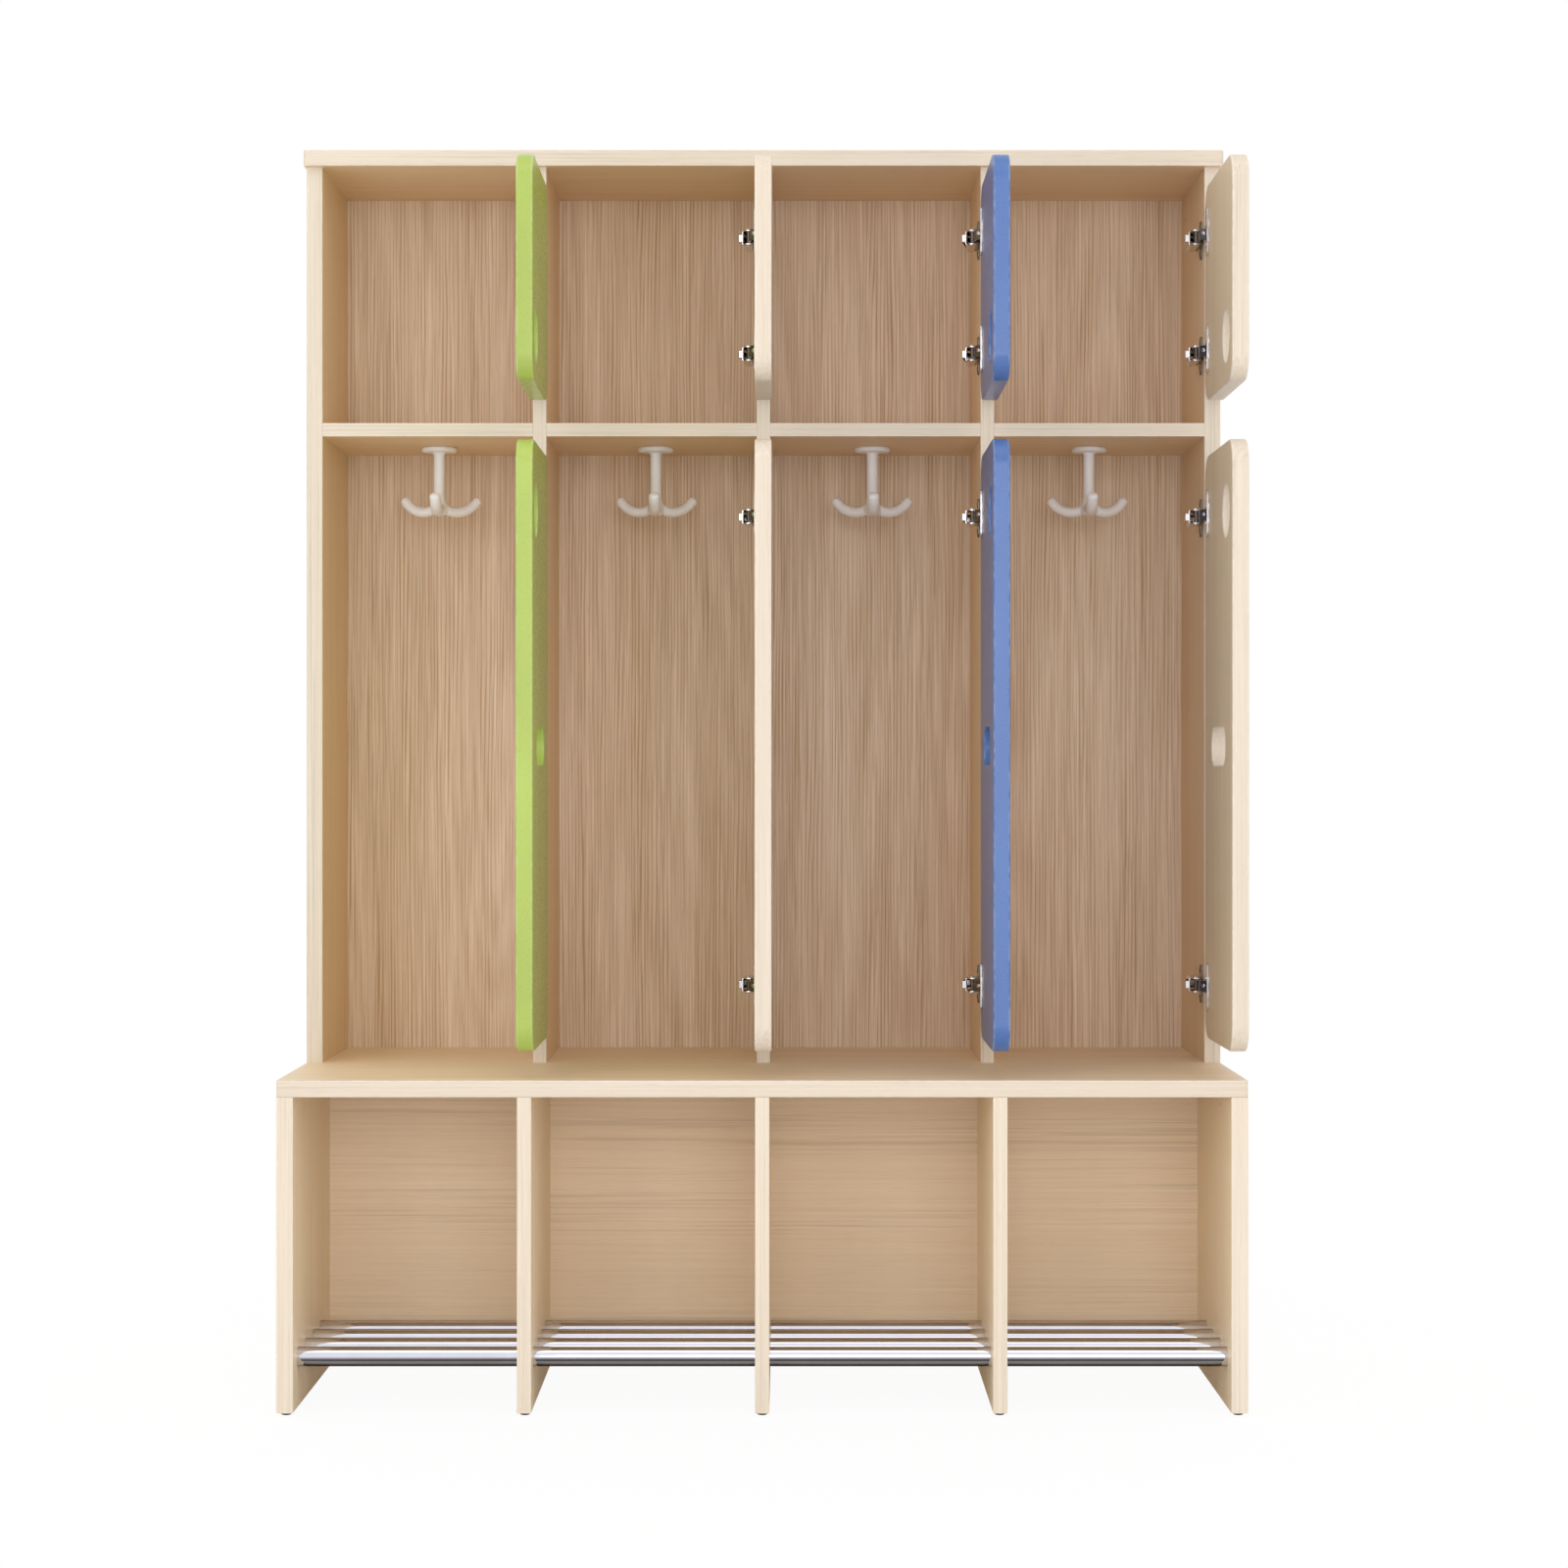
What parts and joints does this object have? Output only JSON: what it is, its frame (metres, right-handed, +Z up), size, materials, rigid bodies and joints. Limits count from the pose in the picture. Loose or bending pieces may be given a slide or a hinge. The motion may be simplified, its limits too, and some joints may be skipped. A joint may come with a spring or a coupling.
{
  "type": "changing room bench",
  "caption": "Cloakroom locker with hinged doors, hat shelves and coat hooks, standing on a shoe bench with tube racks for a kindergarten changing room.",
  "frame": {"origin": "on the floor, under the middle of the whole object with its doors open", "axes": "+X to the right seen from the front, +Y from the seat's front to the back, +Z up"},
  "size_m": [1.092, 0.489, 1.459],
  "materials": {
    "natural_board": "satin laminate, pale ash grain",
    "back_panel_board": "satin laminate, fine upright grain",
    "bench_back_board": "satin laminate, level grain",
    "green_board": "smooth green lacquer",
    "blue_board": "smooth blue lacquer",
    "tube_chrome": "polished",
    "hinge_steel": "nickel plated",
    "hook_plastic": "satin off-white",
    "glide_plastic": "matt black"
  },
  "bodies": {
    "carcass": {"seat_board": "natural_board", "end_leg_left": "natural_board", "end_leg_right": "natural_board", "middle_leg_1": "natural_board", "middle_leg_2": "natural_board", "middle_leg_3": "natural_board", "bench_back_1": "bench_back_board", "bench_back_2": "bench_back_board", "bench_back_3": "bench_back_board", "bench_back_4": "bench_back_board", "shoe_tube_1": "tube_chrome", "shoe_tube_2": "tube_chrome", "shoe_tube_3": "tube_chrome", "shoe_tube_4": "tube_chrome", "floor_glides": "glide_plastic", "side_panel_left": "natural_board", "side_panel_right": "natural_board", "divider_1": "natural_board", "divider_2": "natural_board", "divider_3": "natural_board", "hat_shelf_1": "natural_board", "hat_shelf_2": "natural_board", "hat_shelf_3": "natural_board", "hat_shelf_4": "natural_board", "locker_back_panel": "back_panel_board", "top_panel": "natural_board", "hinge_arms": "hinge_steel", "hinge_plates": "hinge_steel", "coat_hook_1": "hook_plastic", "coat_hook_2": "hook_plastic", "coat_hook_3": "hook_plastic", "coat_hook_4": "hook_plastic"},
    "upper_door_1": {"upper_door_1": "green_board", "upper_door_1_cups": "hinge_steel"},
    "upper_links_1": {"upper_links_1": "hinge_steel"},
    "lower_door_1": {"lower_door_1": "green_board", "lower_door_1_cups": "hinge_steel"},
    "lower_links_1": {"lower_links_1": "hinge_steel"},
    "upper_door_2": {"upper_door_2": "natural_board", "upper_door_2_cups": "hinge_steel"},
    "upper_links_2": {"upper_links_2": "hinge_steel"},
    "lower_door_2": {"lower_door_2": "natural_board", "lower_door_2_cups": "hinge_steel"},
    "lower_links_2": {"lower_links_2": "hinge_steel"},
    "upper_door_3": {"upper_door_3": "blue_board", "upper_door_3_cups": "hinge_steel"},
    "upper_links_3": {"upper_links_3": "hinge_steel"},
    "lower_door_3": {"lower_door_3": "blue_board", "lower_door_3_cups": "hinge_steel"},
    "lower_links_3": {"lower_links_3": "hinge_steel"},
    "upper_door_4": {"upper_door_4": "natural_board", "upper_door_4_cups": "hinge_steel"},
    "upper_links_4": {"upper_links_4": "hinge_steel"},
    "lower_door_4": {"lower_door_4": "natural_board", "lower_door_4_cups": "hinge_steel"},
    "lower_links_4": {"lower_links_4": "hinge_steel"}
  },
  "joints": [
    {"name": "upper_door_1_hinge", "type": "hinge", "parent": "carcass", "child": "upper_door_1", "pos_m": [-0.27225, 0.00325, 1.286], "axis": [0, 0, 1], "range_deg": [-90, 3]},
    {"name": "upper_links_1_turn", "type": "hinge", "parent": "carcass", "child": "upper_links_1", "pos_m": [-0.283, 0.0105, 1.286], "axis": [0, 0, 1], "range_deg": [-90, 3]},
    {"name": "lower_door_1_hinge", "type": "hinge", "parent": "carcass", "child": "lower_door_1", "pos_m": [-0.27225, 0.00325, 0.7505], "axis": [0, 0, 1], "range_deg": [-90, 3]},
    {"name": "lower_links_1_turn", "type": "hinge", "parent": "carcass", "child": "lower_links_1", "pos_m": [-0.283, 0.0105, 0.7505], "axis": [0, 0, 1], "range_deg": [-90, 3]},
    {"name": "upper_door_2_hinge", "type": "hinge", "parent": "carcass", "child": "upper_door_2", "pos_m": [-0.00625, 0.00325, 1.286], "axis": [0, 0, 1], "range_deg": [-90, 3]},
    {"name": "upper_links_2_turn", "type": "hinge", "parent": "carcass", "child": "upper_links_2", "pos_m": [-0.017, 0.0105, 1.286], "axis": [0, 0, 1], "range_deg": [-90, 3]},
    {"name": "lower_door_2_hinge", "type": "hinge", "parent": "carcass", "child": "lower_door_2", "pos_m": [-0.00625, 0.00325, 0.7505], "axis": [0, 0, 1], "range_deg": [-90, 3]},
    {"name": "lower_links_2_turn", "type": "hinge", "parent": "carcass", "child": "lower_links_2", "pos_m": [-0.017, 0.0105, 0.7505], "axis": [0, 0, 1], "range_deg": [-90, 3]},
    {"name": "upper_door_3_hinge", "type": "hinge", "parent": "carcass", "child": "upper_door_3", "pos_m": [0.25975, 0.00325, 1.286], "axis": [0, 0, 1], "range_deg": [-90, 3]},
    {"name": "upper_links_3_turn", "type": "hinge", "parent": "carcass", "child": "upper_links_3", "pos_m": [0.249, 0.0105, 1.286], "axis": [0, 0, 1], "range_deg": [-90, 3]},
    {"name": "lower_door_3_hinge", "type": "hinge", "parent": "carcass", "child": "lower_door_3", "pos_m": [0.25975, 0.00325, 0.7505], "axis": [0, 0, 1], "range_deg": [-90, 3]},
    {"name": "lower_links_3_turn", "type": "hinge", "parent": "carcass", "child": "lower_links_3", "pos_m": [0.249, 0.0105, 0.7505], "axis": [0, 0, 1], "range_deg": [-90, 3]},
    {"name": "upper_door_4_hinge", "type": "hinge", "parent": "carcass", "child": "upper_door_4", "pos_m": [0.52575, 0.00325, 1.286], "axis": [0, 0, 1], "range_deg": [-90, 3]},
    {"name": "upper_links_4_turn", "type": "hinge", "parent": "carcass", "child": "upper_links_4", "pos_m": [0.515, 0.0105, 1.286], "axis": [0, 0, 1], "range_deg": [-90, 3]},
    {"name": "lower_door_4_hinge", "type": "hinge", "parent": "carcass", "child": "lower_door_4", "pos_m": [0.52575, 0.00325, 0.7505], "axis": [0, 0, 1], "range_deg": [-90, 3]},
    {"name": "lower_links_4_turn", "type": "hinge", "parent": "carcass", "child": "lower_links_4", "pos_m": [0.515, 0.0105, 0.7505], "axis": [0, 0, 1], "range_deg": [-90, 3]}
  ],
  "couplings": [
    {"joint": "upper_links_1_turn", "follows": "upper_door_1_hinge", "ratio": 1},
    {"joint": "lower_links_1_turn", "follows": "lower_door_1_hinge", "ratio": 1},
    {"joint": "upper_links_2_turn", "follows": "upper_door_2_hinge", "ratio": 1},
    {"joint": "lower_links_2_turn", "follows": "lower_door_2_hinge", "ratio": 1},
    {"joint": "upper_links_3_turn", "follows": "upper_door_3_hinge", "ratio": 1},
    {"joint": "lower_links_3_turn", "follows": "lower_door_3_hinge", "ratio": 1},
    {"joint": "upper_links_4_turn", "follows": "upper_door_4_hinge", "ratio": 1},
    {"joint": "lower_links_4_turn", "follows": "lower_door_4_hinge", "ratio": 1}
  ]
}
